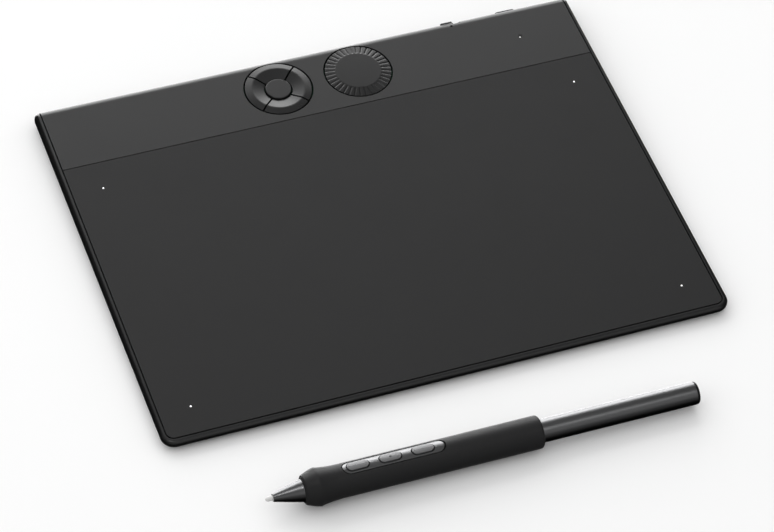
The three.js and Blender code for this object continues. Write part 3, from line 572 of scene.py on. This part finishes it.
def control_strip():
    """The plate along the rear, which wraps over the rear edge, with openings for the controls."""
    wide = HALF_WIDTH + 5
    slot_x, slot_length = (SLOT_LEFT + SLOT_RIGHT) / 2, SLOT_RIGHT - SLOT_LEFT
    strip = common(
        outer_body(),
        block(-PLATE_HALF_WIDTH, PLATE_HALF_WIDTH, SEAM_Y + SEAM / 2, BEYOND, STRIP_WALL_FOOT, ABOVE),
    )
    cut(
        strip,
        block(-wide, wide, 0, STRIP_WALL_FRONT, BELOW, -STRIP_THICKNESS),
        block(-wide, wide, 0, THIN_WALL_FRONT, BELOW, THIN_WALL_TOP),
    )
    boss_foot, boss_top = STRIP_WALL_FOOT + FIT, -STRIP_THICKNESS + 0.4
    joined(strip, *[post(x, SCREW_Y, BOSS_RADIUS, boss_foot, boss_top) for x in SCREW_XS])
    cut(
        strip,
        post(RING_X, CONTROL_Y, HOLE_RADIUS, BELOW, ABOVE, HOLE_SIDES),
        post(DIAL_X, CONTROL_Y, HOLE_RADIUS, BELOW, ABOVE, HOLE_SIDES),
        post(STATUS_X, STATUS_Y, STATUS_HOLE, BELOW, ABOVE),
        post(MARK_X, MARK_Y, MARK_RADIUS, -MARK_DEPTH, ABOVE),
        rear_slot(PORT_X, PORT_Z, PORT_WIDTH + FIT, PORT_HEIGHT + FIT, OPENING_FRONT, BEYOND),
        rear_slot(slot_x, POWER_Z, slot_length, KNOB_HEIGHT + SLOT_PLAY, OPENING_FRONT, PAD_BACK),
        rear_slot(slot_x, PAD_Z, slot_length, PAD_HEIGHT + SLOT_PLAY, PAD_FRONT - FIT, BEYOND),
        *[post(x, SCREW_Y, PILOT_RADIUS, BELOW, PILOT_TOP) for x in SCREW_XS],
    )
    return softened(strip, 0.1)


# ---------------------------------------------------------------- controls


def ring_key(turn):
    """A quarter of the ring: it slopes up to a soft ridge and then down to the centre key."""
    inner, foot, ridge, height, dish, soft = 5.4, -1.9, 10.0, 0.45, -0.5, 0.45
    fall_out, fall_in = 0.155, 0.21  # how far each slope drops within the soft ridge
    profile = [(inner, foot), (CAP_RADIUS, foot), (CAP_RADIUS, -0.14), (12.65, -0.05), (12.58, 0.0)]
    for share in (1, 0.75, 0.5, 0.25, 0, -0.25, -0.5, -0.75, -1):
        dip = soft * (fall_out * (1 + share) ** 2 + fall_in * (1 - share) ** 2) / 4
        profile.append((ridge + soft * share, height - dip))
    profile += [(inner + 0.2, dish), (inner + 0.05, dish - 0.03), (inner, dish - 0.1)]
    apex, reach = SPLIT / 2 * math.sqrt(2), 20
    quarter = [(0, apex), (reach, reach + apex), (-reach, reach + apex)]
    cap = common(lathe(profile, 192, closed=True), prism(quarter, BELOW, ABOVE))
    tab_half_width, tab_reach, tab_angle = 1.2, 14, 37.8
    tabs = [
        turned(block(-tab_half_width, tab_half_width, 12.2, tab_reach, -2, -1.5), side * tab_angle, "Z")
        for side in (-1, 1)
    ]
    plunger = post(0, 9, 1.3, -2.6, -1.6)
    joined(cap, *tabs, plunger)
    softened(cap, 0.07)
    return moved(turned(cap, turn, "Z"), RING_X, CONTROL_Y)


def center_key():
    """A disc with a rounded rim, on a plunger."""
    radius, plunger, foot, shoulder = 4.9, 1.6, -1.9, -0.15
    profile = [(plunger, -2.6), (plunger, foot), (radius, foot), (radius, shoulder)]
    for angle in (0.4, 0.8, 1.2, 1.57):
        profile.append((radius - 0.25 * (1 - math.cos(angle)), shoulder + 0.2 * math.sin(angle)))
    profile += [(r, 0.05) for r in (4, 3, 2, 1, 0.01)]
    return moved(softened(lathe(profile, 128), 0.05), RING_X, CONTROL_Y)


def dial_cap():
    """A disc with a flat top and a bevel of flat ridges with shallow grooves between them."""
    outer, flat, top, rim, foot = CAP_RADIUS, 8.7, 0.5, -0.05, -1.4
    groove_depth, groove_half = 0.19, 0.5
    per_ridge = 18
    steps = per_ridge * DIAL_RIDGES
    slope = (top - rim) / (outer - flat)
    angles = [2 * math.pi * i / steps for i in range(steps)]

    def level(radius, share=1.0):
        crest = top - slope * (radius - flat)
        ring = []
        for i, a in enumerate(angles):
            from_groove = abs((i % per_ridge) - per_ridge / 2) / steps * 2 * math.pi * radius
            depth = groove_depth * share * max(0.0, 1 - from_groove / groove_half)
            ring.append((radius * math.cos(a), radius * math.sin(a), crest - depth))
        return ring

    rings = [circle(outer - 0.3, foot, steps), circle(outer, foot + 0.3, steps)]
    rings += [level(outer), level(outer - 0.08)]
    rings += [level(outer + (flat + 0.5 - outer) * i / 8) for i in range(1, 9)]
    rings += [level(flat + 0.35, 0.7), level(flat + 0.2, 0.35), level(flat, 0)]
    rings += [circle(flat - 0.1, top + 0.01, steps), circle(flat - 0.3, top + 0.015, steps)]
    cap = skin(rings)
    shade_by_angle(cap, 25)
    return moved(cap, DIAL_X, CONTROL_Y)


def light_guide(x, y, radius, foot, top, tip):
    """A lit post whose visible end is the narrower tip."""
    profile = [(radius, foot), (radius, top - 0.5), (tip, top - 0.4), (tip, top - 0.05)]
    profile += [(tip * 0.8, top - 0.01), (tip * 0.4, top), (0.01, top)]
    return moved(softened(lathe(profile, 32), 0.01, 1, 60), x, y)


# ---------------------------------------------------------------- rear edge and underside


def usb_c_port():
    """A flat shell with round sides, and the tongue inside it."""
    front, rear = PORT_REAR - PORT_LENGTH, PORT_REAR
    walls, tongue_half_width, tongue_half_height = 0.6, 3.35, 0.35
    shell = cut(
        rear_slot(PORT_X, PORT_Z, PORT_WIDTH, PORT_HEIGHT, front, rear),
        rear_slot(PORT_X, PORT_Z, PORT_WIDTH - walls, PORT_HEIGHT - walls, front + 0.8, rear + 1),
    )
    left, right = PORT_X - tongue_half_width, PORT_X + tongue_half_width
    low, high = PORT_Z - tongue_half_height, PORT_Z + tongue_half_height
    joined(shell, block(left, right, front + 0.4, rear - 0.9, low, high))
    return softened(shell, 0.05)


def power_knob():
    """A slider that continues the rounded edge and ends in two blunt ridges."""
    x = SLOT_LEFT + FIT + KNOB_WIDTH / 2
    pad = common(outer_body(), rear_slot(x, PAD_Z, KNOB_WIDTH, PAD_HEIGHT, PAD_FRONT, BEYOND))
    knob = joined(
        pad,
        block(x - 1, x + 1, PAD_FRONT - 1.2, PAD_FRONT + 0.5, POWER_Z - 0.4, POWER_Z + 0.4),
        rear_slot(x - 0.9, LEDGE_Z, KNOB_WIDTH - 1.8, LEDGE_HEIGHT, PAD_FRONT + 1, KNOB_REAR),
        rear_slot(x + 1.35, LEDGE_Z, KNOB_WIDTH - 2.7, LEDGE_HEIGHT, PAD_FRONT + 1, KNOB_REAR),
    )
    return softened(knob, 0.06)


def cover_screw(x):
    """A low cylinder head with a six-lobed socket."""
    head = underside_at(SCREW_Y) + 0.1
    neck, head_radius, shank_radius = head + 0.5, 1.5, 0.7
    profile = [(head_radius, head), (head_radius, neck), (shank_radius, neck), (shank_radius, -3.3)]
    profile.append((0.3, -2.9))
    socket_foot, socket_top, lobe_reach = head - 1, head + 0.3, 0.35
    lobes = []
    for i in range(6):
        angle = math.radians(60 * i)
        place = lobe_reach * math.cos(angle), lobe_reach * math.sin(angle)
        lobes.append(post(*place, 0.22, socket_foot, socket_top, 16))
    socket = joined(post(0, 0, 0.42, socket_foot, socket_top, 24), *lobes)
    return moved(softened(cut(lathe(profile, 48), socket), 0.05), x, SCREW_Y)


def rubber_foot(x, y):
    """A bar with round ends, which stands on the desk."""
    pad = prism(slot(FOOT_LENGTH, FOOT_WIDTH, 24), 0, FOOT_HEIGHT + FOOT_SUNK)
    return moved(softened(pad, 0.22, 4), x, y)


# ---------------------------------------------------------------- pen


def pen_slot(x0, x1, half_width, z0, z1):
    """A bar with round ends, along the pen, that points up through its buttons."""
    return moved(prism(slot(x1 - x0, 2 * half_width), z0, z1), (x0 + x1) / 2)


def nib():
    """A round-tipped pin with a collar, and a thinner stem that runs back into the pen."""
    profile = [(0, 0.02), (0.03, 0.2), (0.1, 0.38), (0.22, 0.54), (0.4, 0.67), (0.7, 0.8), (1.2, 0.88)]
    profile += [(3.4, 0.98), (4.1, 0.98), (4.3, 0.7), (15.7, 0.7), (16, 0.4)]
    return softened(lathe_along_x(profile, 48), 0.03)


def nose_cone():
    """A slim, slightly swollen cone that is hollow for the nib. A collar runs on into the grip."""
    length, growth = CONE_BASE - CONE_MOUTH, BASE_RADIUS - MOUTH_RADIUS
    outside = [
        (CONE_MOUTH + length * t, MOUTH_RADIUS + growth * t + CONE_SWELL * math.sin(math.pi * t))
        for t in (i / 16 for i in range(17))
    ]
    inside = [(CONE_STEP, BASE_RADIUS), (CONE_STEP, 3.3), (17, 3.3), (17, 2.75), (12, 2.75), (5.5, 1.4)]
    inside += [(5, MOUTH_BORE), (CONE_MOUTH, MOUTH_BORE)]
    return softened(lathe_along_x(outside + inside, 128, closed=True), 0.07)


def grip_radius(x):
    """The outside of the grip behind the flare."""
    left = max(BLEND_X - x, 0) / (BLEND_X - FLARE_X)
    return GRIP_RADIUS + (FLARE_RADIUS - GRIP_RADIUS) * left * left


def grip():
    """A soft sleeve: a conical front face, a nose that swells to the flare, and a long straight back."""
    nose = [(0, LIP_BORE), (0.1, 4.3), (0.5, 5.05), (0.6, 5.18), (0.75, 5.28), (1.5, 5.6), (2.4, 5.95)]
    nose += [(3.7, 6.42)]
    crown = [(18.2, 6.74), (FLARE_X, FLARE_RADIUS), (18.9, 6.79)]
    back = [(x, grip_radius(x)) for x in (19.6, 20.4, 21.4, 22.6, 24, 25.5, BLEND_X)]
    end = [
        (GRIP_REAR - GRIP_ROUND * (1 - math.sin(a)), GRIP_RADIUS - GRIP_ROUND * (1 - math.cos(a)))
        for a in (math.radians(15 * i) for i in range(7))
    ]
    bore = [(GRIP_REAR, GRIP_BORE), (LIP_END, GRIP_BORE), (LIP_END, LIP_BORE)]
    outside = [(GRIP_FRONT + behind, radius) for behind, radius in nose] + crown + back + end
    sleeve = lathe_along_x(outside + bore, 160, closed=True)
    front, rear = PLATE_START - PLATE_GAP, PLATE_END + 2 * PLATE_GAP
    opening = pen_slot(front, rear, PLATE_HALF + PLATE_GAP, 1, OUTSIDE_PEN)
    return softened(cut(sleeve, opening), 0.12, 3, 50)


def pen_core():
    """The tube that carries the grip, with a hole for each button's plunger."""
    section = [
        (CORE_FRONT, CORE_BORE), (CORE_FRONT, PEN_RADIUS), (CORE_REAR, PEN_RADIUS), (CORE_REAR, CORE_BORE)
    ]
    tube = lathe_along_x(section, 64, closed=True)
    return softened(cut(tube, *[post(x, 0, PLUNGER_HOLE, 2, 5, 24) for x in BUTTON_XS]), 0.05)


def rear_barrel():
    """A plain tube with a bevel at each end."""
    front, rear, front_bevel, rear_bevel = CORE_REAR + FIT, PEN_LENGTH - 0.9, 0.2, 0.12
    profile = [(front, BARREL_BORE), (front, PEN_RADIUS - front_bevel), (front + front_bevel, PEN_RADIUS)]
    profile += [(rear - rear_bevel, PEN_RADIUS), (rear, PEN_RADIUS - rear_bevel), (rear, BARREL_BORE)]
    return softened(lathe_along_x(profile, 128, closed=True), 0.05)


def end_cap():
    """A round-edged cap with a shallow dish, on a plug that goes into the barrel."""
    seat, rear, radius, plug_radius, rounding = PEN_LENGTH - 0.8, PEN_LENGTH, PEN_RADIUS - 0.1, 3.2, 0.5
    profile = [(seat - 3, plug_radius), (seat, plug_radius), (seat, radius)]
    profile += [
        (rear - rounding * (1 - math.sin(a)), radius - rounding * (1 - math.cos(a)))
        for a in (math.radians(18 * i) for i in range(6))
    ]
    profile += [(rear - 0.02, 2.6), (rear - 0.16, 2.3), (rear - 0.18, 0.02)]
    return softened(lathe_along_x(profile, 128), 0.05)


def curved_pen_slot(x0, x1, half_width, foot, radius):
    """A bar with round ends whose top is curved round the pen's axis."""
    tube = lathe_along_x([(x0 - 1, radius), (x1 + 1, radius)], 256)
    return common(pen_slot(x0, x1, half_width, foot, OUTSIDE_PEN), tube)


def button_plate():
    """A curved plate with an opening for each button."""
    reach, half_width = BUTTON_LENGTH / 2 + BUTTON_GAP, BUTTON_WIDTH / 2 + BUTTON_GAP
    plate = curved_pen_slot(PLATE_START, PLATE_END, PLATE_HALF, PLATE_FOOT, PLATE_RADIUS)
    openings = [pen_slot(x - reach, x + reach, half_width, 0, OUTSIDE_PEN) for x in BUTTON_XS]
    return softened(cut(plate, *openings), 0.09)


def side_button(x, dimpled):
    """A pill with a crowned top. A dimple lets the finger find the middle one."""
    reach = BUTTON_LENGTH / 2
    pill = curved_pen_slot(x - reach, x + reach, BUTTON_WIDTH / 2, BUTTON_FOOT, BUTTON_RADIUS)
    if dimpled:
        cut(pill, post(x, 0, DIMPLE_RADIUS, BUTTON_RADIUS - DIMPLE_DEPTH, OUTSIDE_PEN, 24))
    plunger = post(x, 0, PLUNGER_RADIUS, PLUNGER_FOOT, BUTTON_FOOT + 0.3, 24)
    return joined(softened(pill, 0.16, 4, 45), plunger)


# ---------------------------------------------------------------- the stage


def add_camera():
    """A long lens, from the front left, looking down."""
    heading, elevation, roll = (math.radians(degrees) for degrees in VIEW_ANGLES)
    level = math.cos(elevation)
    back = Vector((-math.sin(heading) * level, -math.cos(heading) * level, math.sin(elevation)))
    right = Vector((math.cos(heading), -math.sin(heading), 0))
    turn = Matrix((right, back.cross(right), back)).transposed().to_4x4() @ Matrix.Rotation(roll, 4, "Z")
    data = bpy.data.cameras.new("camera")
    data.sensor_width = VIEW_SENSOR
    data.lens = VIEW_LENS
    data.clip_start = 0.01
    camera = bpy.data.objects.new("camera", data)
    bpy.context.scene.collection.objects.link(camera)
    camera.matrix_world = Matrix.Translation(VIEW_TARGET + back * VIEW_DISTANCE) @ turn
    bpy.context.scene.camera = camera


def add_soft_box(name, heading, elevation, distance, width, height, brightness, in_gloss):
    """A rectangular light aimed at the object. It is either in its reflections or in its soft shading."""
    heading, elevation = math.radians(heading), math.radians(elevation)
    level = math.cos(elevation)
    place = distance * Vector((math.sin(heading) * level, math.cos(heading) * level, math.sin(elevation)))
    data = bpy.data.lights.new(name, "AREA")
    data.shape = "RECTANGLE"
    data.size = width
    data.size_y = height
    data.energy = 4 * width * height * brightness
    light = bpy.data.objects.new(name, data)
    bpy.context.scene.collection.objects.link(light)
    light.location = place
    light.rotation_euler = (-place).to_track_quat("-Z", "Y").to_euler()
    light.visible_glossy = in_gloss
    light.visible_diffuse = not in_gloss


def add_floor():
    """Pale paper, which the object's glossy sides don't reflect."""
    floor = block(-FLOOR_HALF, FLOOR_HALF, -FLOOR_HALF, FLOOR_HALF, FLOOR_FOOT, FLOOR_TOP)
    floor.name = "floor"
    floor.visible_glossy = False
    look = Look("floor_paper", (0.86, 0.86, 0.86), 0.9, specular=0.0)
    look.tint(look.noise(60), 0.003)
    floor.data.materials.append(look.material)


def add_world(strength):
    """An even white surrounding, which reflections don't show."""
    world = bpy.data.worlds.new("studio")
    world.use_nodes = True
    world.node_tree.nodes["Background"].inputs["Color"].default_value = (1, 1, 1, 1)
    world.node_tree.nodes["Background"].inputs["Strength"].default_value = strength
    world.cycles_visibility.glossy = False
    bpy.context.scene.world = world


# ---------------------------------------------------------------- assembly

add_camera()

show(body_tray(), "body_tray", DECK)
show(drawing_surface(), "drawing_surface", DECK)
show(control_strip(), "control_strip", DECK)
for index, side in enumerate(("rear", "left", "front", "right")):
    show(ring_key(90 * index), f"ring_key_{side}", DECK)
show(center_key(), "center_key", DECK)
show(dial_cap(), "dial_cap", DECK)
for index, (x, y) in enumerate(LIGHT_PLACES):
    marker = light_guide(x, y, LIGHT_RADIUS, LIGHT_FOOT, LIGHT_TOP, LIGHT_TIP)
    show(marker, f"marker_light_{index + 1}", DECK)
status = light_guide(STATUS_X, STATUS_Y, STATUS_RADIUS, STATUS_FOOT, STATUS_TOP, STATUS_TIP)
show(status, "status_light", DECK)
show(usb_c_port(), "usb_c_port", DECK)
show(power_knob(), "power_knob", DECK)
for index, x in enumerate(SCREW_XS):
    show(cover_screw(x), f"cover_screw_{index + 1}", DECK)
for index, (x, y) in enumerate(FOOT_PLACES):
    show(rubber_foot(x, y), f"foot_{index + 1}", DESK)

for name, make in (
    ("nib", nib),
    ("nose_cone", nose_cone),
    ("grip", grip),
    ("pen_core", pen_core),
    ("rear_barrel", rear_barrel),
    ("end_cap", end_cap),
    ("button_plate", button_plate),
):
    show(make(), name, PEN)
for index, x in enumerate(BUTTON_XS):
    show(side_button(x, index == 1), f"side_button_{index + 1}", PEN)

# The pieces inside keep their CAD shapes and get their own materials.
for node, piece in frame["nodes"].items():
    if f"fine_{node}" not in bpy.data.objects:
        piece.data.materials.clear()
        piece.data.materials.append(MATERIALS[SLOT_OF[node]])

add_floor()
add_world(WORLD_STRENGTH)
for soft_box in SHADING_BOXES:
    add_soft_box(*soft_box, in_gloss=False)
for soft_box in REFLECTED_BOXES:
    add_soft_box(*soft_box, in_gloss=True)
bpy.context.scene.view_settings.view_transform = "Standard"
